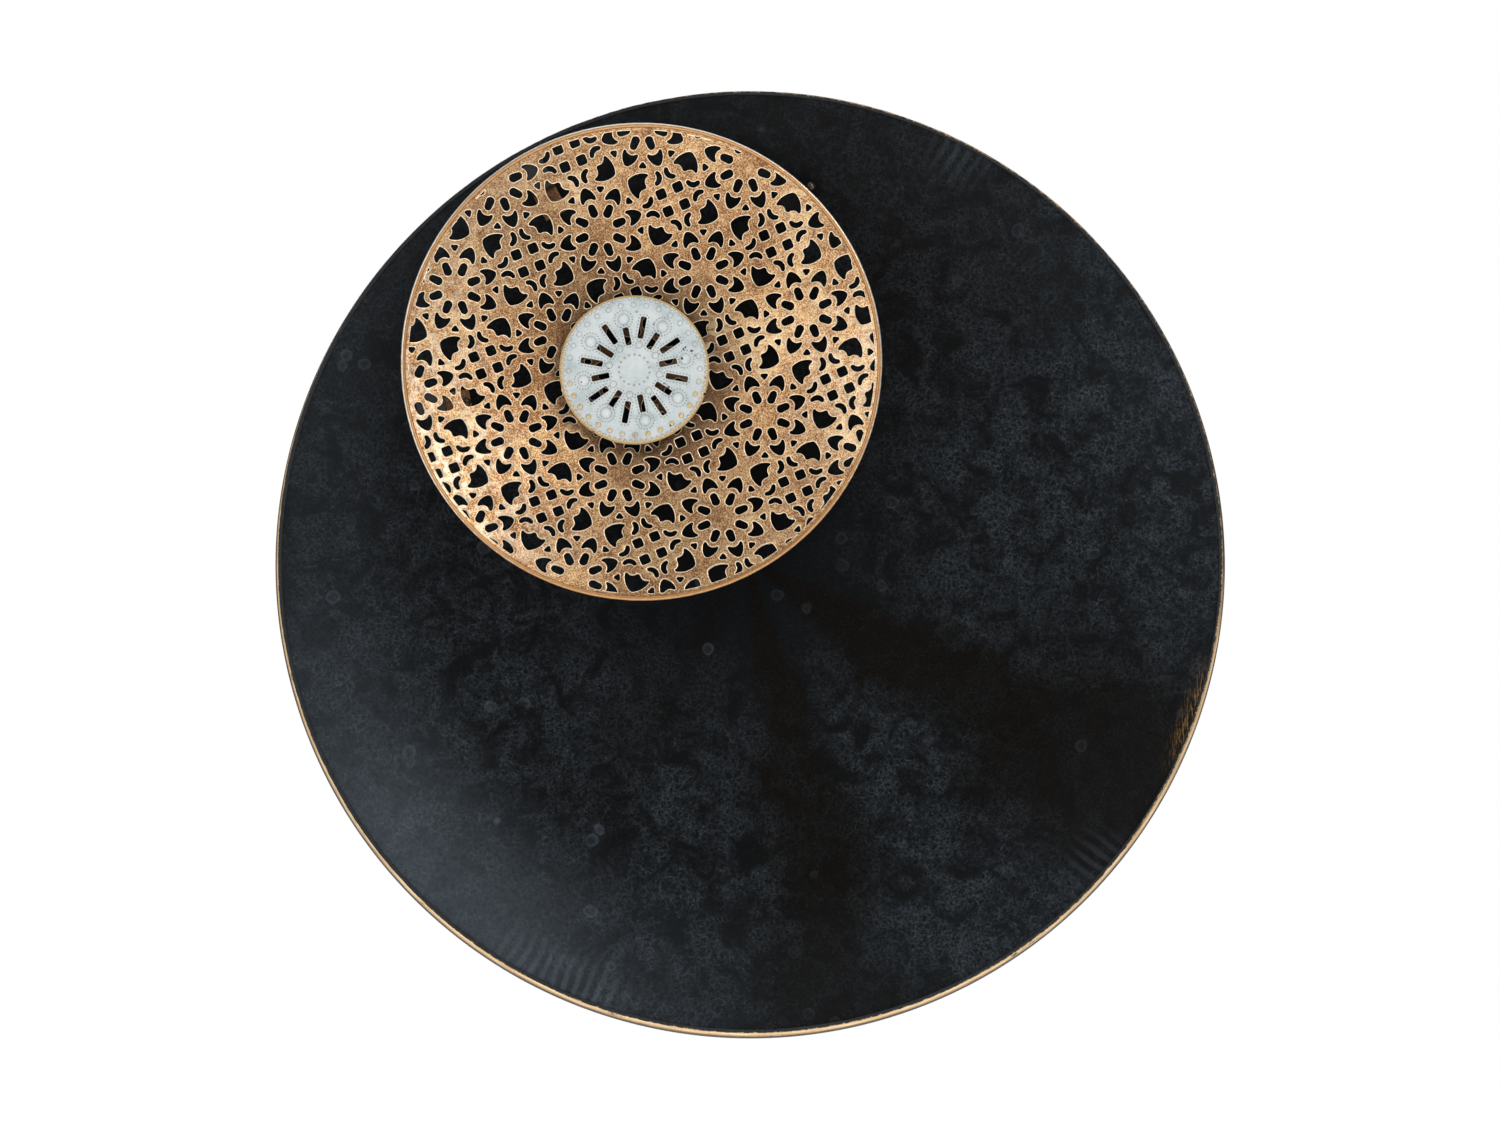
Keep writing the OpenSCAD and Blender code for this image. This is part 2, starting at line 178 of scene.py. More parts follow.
def new_piece(name, points, faces, body, materials, indices=None, sharp=35):
    """A mesh from points in millimetres as [right, distance from the wall, up]."""
    mesh = bpy.data.meshes.new(name)
    mesh.from_pydata((np.asarray(points) * [MM, -MM, MM]).tolist(), [], faces)
    for material in materials:
        mesh.materials.append(material)
    if indices is not None:
        mesh.polygons.foreach_set("material_index", np.asarray(indices, dtype=np.int32))
    mesh.shade_smooth()
    mesh.set_sharp_from_angle(angle=math.radians(sharp))
    mesh.update()
    piece = bpy.data.objects.new(name, mesh)
    bpy.context.scene.collection.objects.link(piece)
    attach(piece, body)
    return piece


def sheet_metal(name, plate, holes, fill, lift, materials, rim=0.40, drop=0.2):
    """A plate of sheet metal with holes. Materials are its front, its cut edges and its back.

    fill holds inner points, lift gives the relief on the front over each point, and rim
    and drop are the width and depth of the rounded edge round each hole.
    """
    loops = [circle(plate.edge)]
    loops += [grown(hole, rim) for hole in holes]
    loops += holes
    edge_points = np.vstack(loops)
    tree = KDTree(len(edge_points))
    for k, (x, z) in enumerate(edge_points):
        tree.insert((x, z, 0), k)
    tree.balance()
    # Inner points nearer than this to an outline are left out
    room = 0.35 * np.linalg.norm(np.diff(fill[:2], axis=0))
    inner = [p for p in fill if tree.find((p[0], p[1], 0))[2] > room]
    starts = np.cumsum([0] + [len(loop) for loop in loops])
    ties = [(k, k + 1 if k + 1 < b else a)
            for a, b in zip(starts[:-1], starts[1:]) for k in range(a, b)]
    given = np.vstack([edge_points, inner])
    made = delaunay_2d_cdt([Vector(p) for p in given], ties, [], 0, 1e-5, True)
    flat = np.array(made[0])
    triangles = np.array(made[2])
    middles = flat[triangles].mean(axis=1)
    on_rim = inside_any(middles, loops[1:1 + len(holes)])
    in_hole = inside_any(middles, holes)
    on_rim, triangles = on_rim[~in_hole], triangles[~in_hole]
    a, b, c = (flat[triangles[:, k]] for k in range(3))
    twice = (b - a)[:, 0] * (c - a)[:, 1] - (b - a)[:, 1] * (c - a)[:, 0]
    triangles[twice < 0] = triangles[twice < 0][:, ::-1]
    first_edge = starts[1 + len(holes)]
    on_edge = np.array([any(first_edge <= k < starts[-1] for k in ids) for ids in made[3]])
    height = plate.height(flat)
    front = np.column_stack([flat[:, 0], height + lift(flat) - drop * on_edge, flat[:, 1]])
    slope = flat / plate.ball
    back = np.column_stack([flat[:, 0], height, flat[:, 1]]) + plate.thickness * np.column_stack(
        [slope[:, 0], -np.sqrt(1 - (slope**2).sum(axis=1)), slope[:, 1]])
    used = np.unique(triangles)
    number = np.full(len(flat), -1)
    number[used] = np.arange(len(used))
    triangles = number[triangles]
    count = len(used)
    edges = np.vstack([triangles[:, [0, 1]], triangles[:, [1, 2]], triangles[:, [2, 0]]])
    keys = {tuple(edge) for edge in edges.tolist()}
    walls = [[a, a + count, b + count, b] for a, b in keys if (b, a) not in keys]
    points = np.vstack([front[used], back[used]])
    points[:, [0, 2]] += plate.middle
    all_faces = triangles.tolist() + (triangles[:, ::-1] + count).tolist() + sorted(walls)
    indices = on_rim.astype(int).tolist() + [2] * len(triangles) + [1] * len(walls)
    return new_piece(name, points, all_faces, "relief", materials, indices)


def lathe(name, middle, profile, steps, wobble, materials, sharp=35):
    """Turns a closed profile of [radius, distance from the wall] round a middle."""
    turn = np.linspace(0, 2 * math.pi, steps, endpoint=False)
    rings = []
    for radius, out in profile:
        r, h = wobble(turn, radius, out)
        rings.append(np.column_stack([middle[0] + r * np.cos(turn), h, middle[1] + r * np.sin(turn)]))
    count = len(profile)
    faces = []
    for k in range(count):
        ahead = (k + 1) % count
        for i in range(steps):
            j = (i + 1) % steps
            faces.append([k * steps + i, k * steps + j, ahead * steps + j, ahead * steps + i])
    return new_piece(name, np.vstack(rings), faces, "relief", materials, sharp=sharp)


def waves(turn, seed, lowest, highest):
    """A smooth seamless wander between about -1 and 1 round a circle."""
    rng = np.random.default_rng(seed)
    total = np.zeros_like(turn)
    for times in range(lowest, highest + 1):
        total += rng.normal() * np.sin(times * turn + rng.uniform(0, 2 * math.pi))
    return total / math.sqrt(highest - lowest + 1)


# ---- shader nodes ----

def colour(red, green, blue):
    """A linear colour from values as a screen shows them, 0 to 255."""
    screen = np.array([red, green, blue]) / 255
    linear = np.where(screen > 0.04045, ((screen + 0.055) / 1.055) ** 2.4, screen / 12.92)
    return (*linear.tolist(), 1.0)


class Graph:
    """A material that is written as a chain of node outputs. Its unit is the millimetre."""

    def __init__(self, name, middle=(0, 0)):
        self.material = bpy.data.materials.new(name)
        self.material.use_nodes = True
        self.tree = self.material.node_tree
        self.tree.nodes.clear()
        place = self.add("ShaderNodeTexCoord", output="Object")
        shifted = self.vector("SUBTRACT", place, (middle[0] * MM, 0, middle[1] * MM))
        self.place = self.scaled(shifted, 1 / MM)
        parts = self.tree.nodes.new("ShaderNodeSeparateXYZ")
        self.tree.links.new(self.place, parts.inputs[0])
        self.right, self.depth, self.up = parts.outputs

    def add(self, kind, inputs=None, output=0, **settings):
        node = self.tree.nodes.new(kind)
        for key, value in settings.items():
            setattr(node, key, value)
        for socket, value in (inputs or {}).items():
            if isinstance(value, bpy.types.NodeSocket):
                self.tree.links.new(value, node.inputs[socket])
            else:
                node.inputs[socket].default_value = value
        return node.outputs[output] if len(node.outputs) else None

    def math(self, operation, a, b=0.0, clamp=False):
        return self.add("ShaderNodeMath", {0: a, 1: b}, operation=operation, use_clamp=clamp)

    def plus(self, a, b, clamp=False):
        return self.math("ADD", a, b, clamp)

    def minus(self, a, b):
        return self.math("SUBTRACT", a, b)

    def times(self, a, b):
        return self.math("MULTIPLY", a, b)

    def larger(self, a, b):
        return self.math("MAXIMUM", a, b)

    def vector(self, operation, a, b):
        return self.add("ShaderNodeVectorMath", {0: a, 1: b}, operation=operation)

    def scaled(self, vector, amount):
        return self.add("ShaderNodeVectorMath", {0: vector, "Scale": amount}, operation="SCALE")

    def reach(self, right=0.0, up=0.0):
        """Distance from the plate's axis, or from an axis beside it."""
        flat = self.vector("MULTIPLY", self.vector("SUBTRACT", self.place, (right, 0, up)), (1, 0, 1))
        return self.add("ShaderNodeVectorMath", {0: flat}, output="Value", operation="LENGTH")

    def turn(self):
        """Share of a full turn: 0 at the left, 0.25 below, 0.5 at the right and 0.75 at the top."""
        angle = self.math("ARCTAN2", self.up, self.right)
        return self.plus(self.math("DIVIDE", angle, 2 * math.pi), 0.5)

    def noise(self, size, detail=3.0, roughness=0.55, distortion=0.0, vector=None):
        """Noise between 0 and 1 with features of about that size."""
        return self.add("ShaderNodeTexNoise", {
            "Vector": vector or self.place, "Scale": 1 / size, "Detail": detail,
            "Roughness": roughness, "Distortion": distortion})

    def cells(self, size, feature="F1", vector=None):
        """Distance to the middle or the edge of cells of about that size, as a share of it."""
        return self.add("ShaderNodeTexVoronoi", {
            "Vector": vector or self.place, "Scale": 1 / size, "Randomness": 1.0},
            output="Distance", feature=feature)

    def stretched(self, scale):
        """The place with each axis scaled."""
        return self.vector("MULTIPLY", self.place, scale)

    def warped(self, size, amount):
        """The place moved about by noise."""
        noise = {"Vector": self.place, "Scale": 1 / size, "Detail": 2.0}
        shift = self.add("ShaderNodeTexNoise", noise, output="Color")
        centred = self.vector("SUBTRACT", shift, (0.5, 0.5, 0.5))
        return self.vector("ADD", self.place, self.scaled(centred, amount))

    def rise(self, value, low, high):
        """0 below low, 1 above high and smooth between, or falling where low is the larger."""
        return self.add("ShaderNodeMapRange", {"Value": value, "From Min": low, "From Max": high},
                        interpolation_type="SMOOTHSTEP")

    def ramp(self, value, stops):
        """A smooth curve through (position, grey or colour) stops."""
        output = self.add("ShaderNodeValToRGB", {"Fac": value})
        ramp = output.node.color_ramp
        while len(ramp.elements) < len(stops):
            ramp.elements.new(0.5)
        for element, (position, shade) in zip(ramp.elements, stops):
            element.position = position
            element.color = shade if isinstance(shade, tuple) else (shade, shade, shade, 1.0)
        return output

    def mix(self, share, a, b, blend="MIX"):
        return self.add("ShaderNodeMix", {0: share, 6: a, 7: b}, output=2, data_type="RGBA",
                        blend_type=blend)

    def bump(self, height, distance, normal=None):
        """Bump from a height of 0 to 1 that stands for a distance in millimetres."""
        inputs = {"Height": height, "Distance": distance * MM, "Strength": 1.0}
        if normal is not None:
            inputs["Normal"] = normal
        return self.add("ShaderNodeBump", inputs)

    def finish(self, **sockets):
        """Closes the graph with a Principled shader. Words are its sockets' names."""
        inputs = {key.replace("_", " "): value for key, value in sockets.items()}
        shader = self.add("ShaderNodeBsdfPrincipled", inputs)
        self.add("ShaderNodeOutputMaterial", {"Surface": shader})
        return self.material


# ---- materials ----

# Painted highlights on the fine pleats at the dish's edge: radians of their wave in a full turn
PLEAT_BEAT = 1480
# Height over the wall from which black overspray hides the copper on a leg
OVERSPRAY_FROM = 34


def lacquer_material():
    """Black lacquer under a cloudy blue-grey patina, brightened in fan-shaped painted reflections of the
    lights that spread out from the middle, with a painted sheen near the lower-left edge and painted
    highlights on the pleats.
    """
    g = Graph("black_lacquer", dish.middle)
    warp = g.times(g.minus(g.noise(90, 3), 0.5), 0.10)
    # Painted reflections: the lights' fan-shaped highlights in the spun lacquer, painted round the turn;
    # the patina's clouds and grain show inside them.
    reflection_fans = g.ramp(g.plus(g.turn(), warp), [
        (0.00, 0.42), (0.05, 0.50), (0.12, 0.52), (0.17, 0.30), (0.205, 0.62), (0.24, 0.50),
        (0.265, 0.10), (0.295, 0.16), (0.325, 0.72), (0.365, 0.55), (0.39, 0.10), (0.43, 0.06),
        (0.46, 0.48), (0.50, 0.55), (0.55, 0.68), (0.60, 0.42), (0.67, 0.28), (0.75, 0.22),
        (0.90, 0.30), (1.00, 0.42)])
    spread = g.rise(g.reach(), 20, 170)
    clouds = g.noise(20, 6, 0.68, 0.8)
    amount = g.times(g.times(reflection_fans, spread), g.rise(clouds, 0.36, 0.62))
    folds = g.warped(6, 4)
    web = g.rise(g.cells(4.6, "DISTANCE_TO_EDGE", vector=folds), 0.24, 0.0)
    grain = g.rise(g.noise(1.6, 4, 0.75), 0.45, 0.66)
    dots = g.rise(g.noise(0.9, 1, 0.5), 0.60, 0.74)
    texture = g.plus(g.times(web, 0.20), g.times(grain, 0.52))
    # This carries the patina's mottle together with the painted reflections of the lights.
    patina = g.times(amount, texture)
    spot_place = g.warped(14, 5)
    from_spot = g.cells(26, vector=spot_place)
    spot = g.times(g.rise(from_spot, 0.19, 0.15), g.plus(g.rise(from_spot, 0.08, 0.16), 0.5))
    spots = g.times(spot, g.rise(g.noise(60, 2), 0.46, 0.56))
    spots = g.times(spots, g.ramp(g.turn(), [
        (0.0, 0.6), (0.14, 1.0), (0.24, 0.3), (0.6, 0.3), (1.0, 0.6)]))
    # Painted sheen: a soft blue-grey highlight on the lacquer near the lower-left edge of the dish.
    painted_sheen = g.ramp(g.turn(), [
        (0.0, 0.10), (0.06, 0.26), (0.10, 0.50), (0.16, 0.46), (0.20, 0.20), (0.26, 0.05),
        (0.45, 0.02), (0.56, 0.06), (0.70, 0.03), (1.0, 0.10)])
    painted_sheen = g.times(painted_sheen, g.rise(g.reach(), dish.edge - 110, dish.edge - 4))
    painted_sheen = g.times(painted_sheen, g.plus(g.times(g.noise(3, 5, 0.8), 1.4), 0.20))
    beat = g.times(g.plus(g.turn(), g.times(g.noise(40, 1), 0.007)), PLEAT_BEAT)
    beat = g.math("SINE", beat)
    # Painted highlights: lighter streaks where the pleats at the edge catch the light.
    pleats = g.ramp(g.turn(), [
        (0.150, 0.0), (0.172, 0.9), (0.196, 0.9), (0.215, 0.0), (0.365, 0.0), (0.385, 0.6),
        (0.400, 0.0), (0.660, 0.0), (0.675, 0.5), (0.690, 0.0)])
    pleats = g.times(pleats, g.rise(g.reach(), dish.edge - 36, dish.edge - 6))
    pleats = g.times(pleats, g.rise(beat, -0.6, 1.0))
    total = g.plus(patina, g.times(spots, 0.22))
    total = g.plus(total, g.plus(painted_sheen, g.times(pleats, 0.30)))
    total = g.plus(total, g.times(dots, 0.07), clamp=True)
    # The black turns a little cooler where the painted reflections fall; the blue-grey below carries the
    # patina, spots, painted sheen and painted pleat highlights.
    base = g.mix(g.rise(reflection_fans, 0.1, 0.5), colour(14, 12, 10), colour(14, 15, 16))
    paint = g.mix(total, base, colour(80, 88, 95))
    scrape = g.ramp(g.turn(), [(0.424, 0.0), (0.438, 1.0), (0.452, 1.0), (0.466, 0.0)])
    scrape = g.times(scrape, g.rise(g.reach(), dish.edge - 13, dish.edge - 1))
    scratched = g.rise(g.noise(2.0, 5, 0.8, vector=g.stretched((2.4, 1.0, 0.3))), 0.51, 0.57)
    paint = g.mix(g.times(g.times(scrape, scratched), 0.7), paint, colour(140, 106, 62))
    spun = {"W": g.math("DIVIDE", g.reach(), 1.1), "Scale": 1.0, "Detail": 3.0}
    rings = g.add("ShaderNodeTexNoise", spun, noise_dimensions="1D")
    dull = g.plus(g.times(total, 0.25), g.times(g.noise(12, 4), 0.14))
    normal = g.bump(rings, 0.02)
    normal = g.bump(g.noise(26, 2), 0.5, normal)
    normal = g.bump(g.noise(0.8, 2), 0.035, normal)
    return g.finish(Base_Color=paint, Roughness=g.plus(dull, 0.36), Specular_IOR_Level=0.03,
                    Normal=normal)


def gold_wear(g, side_shares):
    """Share of gold rubbed free of the black, ragged, on the side of the plate that the stops give."""
    side = g.ramp(g.turn(), side_shares)
    ragged = g.noise(3.2, 5, 0.7, vector=g.stretched((1, 0.4, 1)))
    return g.plus(side, g.minus(ragged, 0.5))


def lip_material():
    """The turned-over lip: black lacquer chipped to gold along its outer edge."""
    g = Graph("chipped_lip", dish.middle)
    wear = gold_wear(g, [
        (0.0, 0.32), (0.10, 0.32), (0.20, 0.44), (0.36, 0.46), (0.42, 0.74), (0.47, 0.66),
        (0.52, 0.46), (0.62, 0.52), (0.70, 0.58), (0.77, 0.44), (0.88, 0.34), (1.0, 0.32)])
    outer = g.rise(g.reach(), dish.edge - 1.2, dish.edge + 1.6)
    wear_and_highlight = g.rise(g.plus(g.times(outer, 0.55), wear), 0.88, 1.02)
    gold = g.mix(g.noise(1.2, 3, 0.7), colour(96, 70, 34), colour(226, 196, 150))
    black = g.mix(g.noise(2.5, 3), colour(18, 18, 20), colour(46, 47, 50))
    normal = g.bump(g.noise(2.0, 4), 0.12)
    return g.finish(Base_Color=g.mix(wear_and_highlight, black, gold), Metallic=g.times(wear_and_highlight, 0.7),
                    Roughness=0.42, Specular_IOR_Level=0.25, Normal=normal)


def band_material():
    """Gold paint on the band, streaked along it, lighter towards its front edge as a painted highlight,
    and dark at the hem and in patches where the gold is rubbed off.
    """
    g = Graph("gilded_band", dish.middle)
    along = g.noise(9, 4, 0.65, vector=g.stretched((0.35, 2.2, 0.35)))
    fine = g.noise(1.1, 3, 0.7)
    tone = g.plus(g.times(along, 0.6), g.times(fine, 0.4))
    shade = g.ramp(tone, [
        (0.30, colour(96, 66, 34)), (0.46, colour(150, 112, 64)), (0.62, colour(196, 158, 102))])
    light = g.ramp(tone, [
        (0.30, colour(132, 98, 54)), (0.46, colour(196, 160, 108)), (0.62, colour(240, 216, 172))])
    out = g.minus(g.times(g.noise(7, 4, 0.7), 4), g.depth)
    # Painted highlight: the gold turns lighter towards the band's front edge.
    gold = g.mix(g.rise(out, 18, 24), shade, light)
    # Darker towards the hem at the back of the band.
    hem = g.rise(out, 17.0, 13.5)
    wear_and_sheen = g.larger(hem, g.rise(g.noise(16, 5, 0.7), 0.60, 0.68))
    share = g.ramp(g.turn(), [
        (0.0, 0.62), (0.10, 0.95), (0.25, 1.0), (0.38, 0.92), (0.44, 0.80), (0.50, 0.34),
        (0.62, 0.42), (0.72, 0.48), (0.80, 0.30), (0.92, 0.34), (1.0, 0.62)])
    streaks = g.noise(6, 6, 0.72, vector=g.stretched((0.45, 2.0, 0.45)))
    kept = g.rise(g.plus(share, g.times(streaks, 0.9)), 0.80, 1.00)
    wear_and_sheen = g.larger(wear_and_sheen, g.minus(1.0, kept))
    paint = g.mix(wear_and_sheen, gold, g.mix(fine, colour(18, 15, 12), colour(52, 42, 30)))
    return g.finish(Base_Color=paint, Metallic=0.15, Roughness=g.plus(g.times(fine, 0.2), 0.45),
                    Specular_IOR_Level=0.06, Normal=g.bump(along, 0.15))


def leaf_tone(g, low=0.30, high=0.72):
    """Mottled tone of copper leaf: soft patches, blotches and a golden grain."""
    patches = g.noise(55, 3, 0.5, 0.4)
    blotches = g.noise(9, 4, 0.65, 0.5)
    grain = g.noise(0.95, 3, 0.8)
    tone = g.plus(g.times(patches, 0.24), g.times(blotches, 0.34))
    tone = g.plus(tone, g.times(grain, 1.05))
    return g.rise(g.minus(tone, 0.315), low, high)


def copper_material():
    """Antique copper leaf: brown in the hollows, gold on the high grain, with a painted shadow round the
    boss, painted light and shade by side and a painted sheen near the edge.
    """
    g = Graph("copper_leaf", bowl.middle)
    tone = leaf_tone(g, 0.34, 0.68)
    leaf = g.ramp(tone, [
        (0.0, colour(112, 72, 40)), (0.34, colour(176, 126, 80)), (0.64, colour(224, 172, 118)),
        (1.0, colour(255, 224, 172))])
    # The painted shadow of the boss on the leaf has its middle a little to the right of the boss's
    shadow_right, shadow_up = boss.middle - bowl.middle + [9, 0]
    away = g.reach(shadow_right, shadow_up)
    boss_shadow = g.times(g.rise(g.plus(away, g.times(g.noise(14, 3), 26)), 98, 52), 0.74)
    # Painted shadow: the leaf darkens to brown in a ring round the boss.
    leaf_with_painted_light = g.mix(boss_shadow, leaf, colour(92, 64, 40))
    # Painted light and shade by side: lightest at the left, lower left and right, darker below and at the
    # upper left.
    side = g.ramp(g.turn(), [
        (0.0, 0.92), (0.06, 1.0), (0.13, 1.0), (0.19, 0.80), (0.25, 0.60), (0.31, 0.66),
        (0.375, 0.80), (0.44, 0.92), (0.50, 1.0), (0.56, 0.90), (0.625, 0.76), (0.75, 0.77),
        (0.82, 0.60), (0.875, 0.54), (0.94, 0.74), (1.0, 0.92)])
    leaf_with_painted_light = g.mix(1.0, leaf_with_painted_light, side, "MULTIPLY")
    # Painted sheen: pale light on the leaf near the edge at the lower left, left and right.
    wear_and_sheen = g.ramp(g.turn(), [
        (0.0, 0.45), (0.09, 0.85), (0.17, 0.25), (0.24, 0.0), (0.42, 0.10), (0.49, 0.60),
        (0.56, 0.10), (0.70, 0.0), (0.90, 0.10), (1.0, 0.45)])
    wear_and_sheen = g.times(wear_and_sheen, g.rise(g.reach(), 75, 140))
    wear_and_sheen = g.times(wear_and_sheen, g.rise(g.noise(7, 5, 0.7, 0.6), 0.44, 0.60))
    leaf_with_painted_light = g.mix(wear_and_sheen, leaf_with_painted_light, colour(250, 234, 208))
    creases = g.rise(g.noise(22, 5, 0.55, 1.4, vector=g.stretched((1.0, 1.0, 3.2))), 0.495, 0.512)
    fold = g.times(creases, g.rise(g.noise(60, 2), 0.55, 0.66))
    paint = g.mix(g.times(fold, 0.35), leaf_with_painted_light, colour(252, 226, 178))
    normal = g.bump(g.noise(1.0, 3, 0.75), 0.10)
    normal = g.bump(g.noise(7, 3), 0.18, normal)
    roughness = g.plus(g.times(g.noise(2.4, 3), 0.22), 0.34)
    return g.finish(Base_Color=paint, Metallic=0.62, Roughness=roughness, Normal=normal)


def cut_edge_material():
    """Bare bright edges round the holes."""
    g = Graph("bright_cut_edge", bowl.middle)
    tone = g.noise(2.2, 3, 0.6)
    paint = g.ramp(tone, [
        (0.34, colour(214, 176, 132)), (0.50, colour(246, 222, 188)), (0.66, colour(255, 244, 222))])
    return g.finish(Base_Color=paint, Metallic=0.35, Roughness=0.36, Normal=g.bump(tone, 0.05))


def copper_back_material(name="copper_back", black_above=None):
    """Copper paint on the bowl's back, and on the legs up to where black overspray hides it."""
    g = Graph(name, bowl.middle)
    leaf = g.ramp(leaf_tone(g), [
        (0.0, colour(72, 46, 28)), (0.5, colour(140, 98, 62)), (1.0, colour(196, 154, 108))])
    if black_above:
        height = g.plus(g.times(g.depth, -1), g.times(g.noise(4), 3))
        leaf = g.mix(g.rise(height, black_above, black_above + 4), leaf, colour(22, 21, 20))
    roughness = g.plus(g.times(g.noise(3), 0.2), 0.4)
    return g.finish(Base_Color=leaf, Metallic=0.5, Roughness=roughness,
                    Normal=g.bump(g.noise(1.4, 3), 0.08))


def wire_material():
    """Copper paint on the rim wire, with a painted highlight in pale metal colours along its crown."""
    g = Graph("worn_rim", bowl.middle)
    crown = g.rise(g.reach(), bowl.edge + 1.5, bowl.edge + 2.6)
    side = g.ramp(g.turn(), [
        (0.0, 0.74), (0.12, 0.40), (0.22, 0.16), (0.36, 0.22), (0.50, 0.56), (0.66, 0.72),
        (0.82, 0.86), (1.0, 0.74)])
    scratch = g.noise(2.2, 4, 0.7, vector=g.stretched((0.6, 2.0, 0.6)))
    # Painted highlight: the crown of the wire lit from above, strongest at the top and left and weakest
    # below, broken up by the scratch noise; metal is its pale colour.
    share = g.plus(g.times(crown, side), g.times(scratch, 0.9))
    wear_and_highlight = g.rise(share, 0.72, 1.02)
    copper = g.mix(g.noise(1.3, 3, 0.7), colour(140, 94, 56), colour(226, 176, 120))
    metal = g.mix(g.noise(1.0, 2), colour(216, 204, 188), colour(255, 250, 240))
    return g.finish(Base_Color=g.mix(wear_and_highlight, copper, metal), Metallic=0.7, Roughness=0.33,
                    Normal=g.bump(scratch, 0.06))


def chalk_material():
    """Chalky blue-white paint with black chips, rubbed to gold on the beads at its edge, with painted
    shade round the foot of each dome and a painted highlight on the high tops.
    """
    g = Graph("chalk_white", boss.middle)
    soft = g.noise(11, 4, 0.6)
    fine = g.noise(1.0, 3, 0.7)
    tone = g.plus(g.times(soft, 0.6), g.times(fine, 0.4))
    white = g.ramp(tone, [
        (0.34, colour(160, 170, 173)), (0.50, colour(188, 195, 195)), (0.66, colour(204, 208, 207))])
    height = g.minus(g.times(g.depth, -1), boss.bottom)
    # Painted shade: a darker ring round the foot of each dome, bead and dot.
    painted_foot_shade = g.times(g.rise(height, 0.04, 0.16), g.rise(height, 0.75, 0.25))
    white = g.mix(g.times(painted_foot_shade, 0.75), white, colour(104, 104, 98))
    # Painted highlight: the high tops of the taller domes are lighter.
    white = g.mix(g.times(g.rise(height, 1.0, 1.9), 0.5), white, colour(212, 217, 216))
    raised = g.rise(height, 0.35, 0.8)
    outer = g.rise(g.reach(), 39.5, 41.0)
    side = g.ramp(g.turn(), [
        (0.0, 0.66), (0.10, 0.78), (0.22, 0.68), (0.36, 0.80), (0.46, 0.70), (0.58, 0.46),
        (0.74, 0.52), (0.88, 0.48), (1.0, 0.66)])
    rub = g.rise(g.plus(side, g.times(g.noise(5.5, 3, 0.6), 0.8)), 0.90, 1.05)
    inner_ring = g.times(g.rise(g.reach(), 45.2, 44.6), g.rise(side, 0.74, 0.62))
    rub = g.times(rub, g.minus(1.0, inner_ring))
    beads = g.times(g.times(raised, outer), rub)
    ragged = g.plus(g.reach(), g.times(g.noise(2.6, 4, 0.7), 2.2))
    brink = g.rise(ragged, boss.edge - 0.6, boss.edge + 0.2)
    gilt = g.larger(beads, brink)
    gold = g.mix(g.noise(0.9, 3, 0.7), colour(148, 108, 56), colour(250, 224, 170))
    chip = g.rise(g.cells(6.5, vector=g.warped(2, 1.2)), 0.17, 0.12)
    chips = g.times(chip, g.rise(g.noise(14, 2), 0.48, 0.54))
    paint = g.mix(gilt, white, gold)
    paint = g.mix(chips, paint, colour(24, 24, 26))
    normal = g.bump(fine, 0.06)
    normal = g.bump(soft, 0.10, normal)
    return g.finish(Base_Color=paint, Metallic=g.times(gilt, 0.65),
                    Roughness=g.minus(0.62, g.times(gilt, 0.26)), Normal=normal)


def metal_material(name, dark, light, size, metallic, roughness, relief=0.04, shine=0.5):
    """A plain metal or paint with clouds of a size in millimetres, scratches and a slight relief."""
    g = Graph(name)
    clouds = g.noise(size, 4, 0.6)
    scratches = g.noise(0.8, 3, 0.7, vector=g.stretched((0.25, 1.0, 2.5)))
    tone = g.plus(g.times(clouds, 0.65), g.times(scratches, 0.35))
    paint = g.mix(g.rise(tone, 0.32, 0.68), dark, light)
    rough = g.plus(g.times(clouds, 0.24), roughness - 0.12)
    return g.finish(Base_Color=paint, Metallic=metallic, Roughness=rough, Specular_IOR_Level=shine,
                    Normal=g.bump(tone, relief))


lacquer = lacquer_material()
lip = lip_material()
gilding = band_material()
copper = copper_material()
cut_edge = cut_edge_material()
copper_back = copper_back_material()
strap_copper = copper_back_material("copper_strap", OVERSPRAY_FROM)
rim_metal = wire_material()
chalk = chalk_material()
# After the name: dark and light colour, size of the clouds, metallic, roughness, relief and shine
dish_back = metal_material("dull_black_back", colour(20, 19, 18), colour(48, 43, 38), 26, 0.1, 0.62, 0.15)
boss_back = metal_material("bare_steel_back", colour(92, 86, 78), colour(152, 144, 132), 12, 0.8, 0.48,
                           0.08)
slot_edge = metal_material("dark_slot_edge", colour(26, 20, 16), colour(92, 62, 38), 2, 0.3, 0.5)
zinc = metal_material("zinc_plate", colour(118, 118, 116), colour(206, 206, 202), 2.2, 0.95, 0.34)
strap_steel = metal_material("plated_strap", colour(120, 112, 98), colour(190, 182, 164), 4, 0.9, 0.36)
bar_paint = metal_material("black_bar_paint", colour(16, 16, 17), colour(46, 46, 48), 5, 0.1, 0.46, 0.12)
strap_black = metal_material("blackened_strap", colour(8, 8, 8), colour(20, 19, 18), 4, 0.0, 0.7, 0.08,
                             0.04)
screw_metal = metal_material("dark_screw", colour(22, 20, 18), colour(112, 98, 82), 1.4, 0.8, 0.34)
rubber = metal_material("matt_rubber", colour(16, 16, 16), colour(40, 40, 40), 1.6, 0.0, 0.84, 0.08)


# ---- back dish and its band ----

# Groups of pleats at the dish's edge: direction in degrees, spread, pleats' spacing and length
PLEATS = [(-115, 5.0, 7.5, 34), (-43, 6.5, 11.0, 44), (62, 6.0, 8.5, 30), (-72, 5.0, 12.0, 22),
          (24, 6.0, 10.0, 26), (168, 6.0, 11.0, 24)]


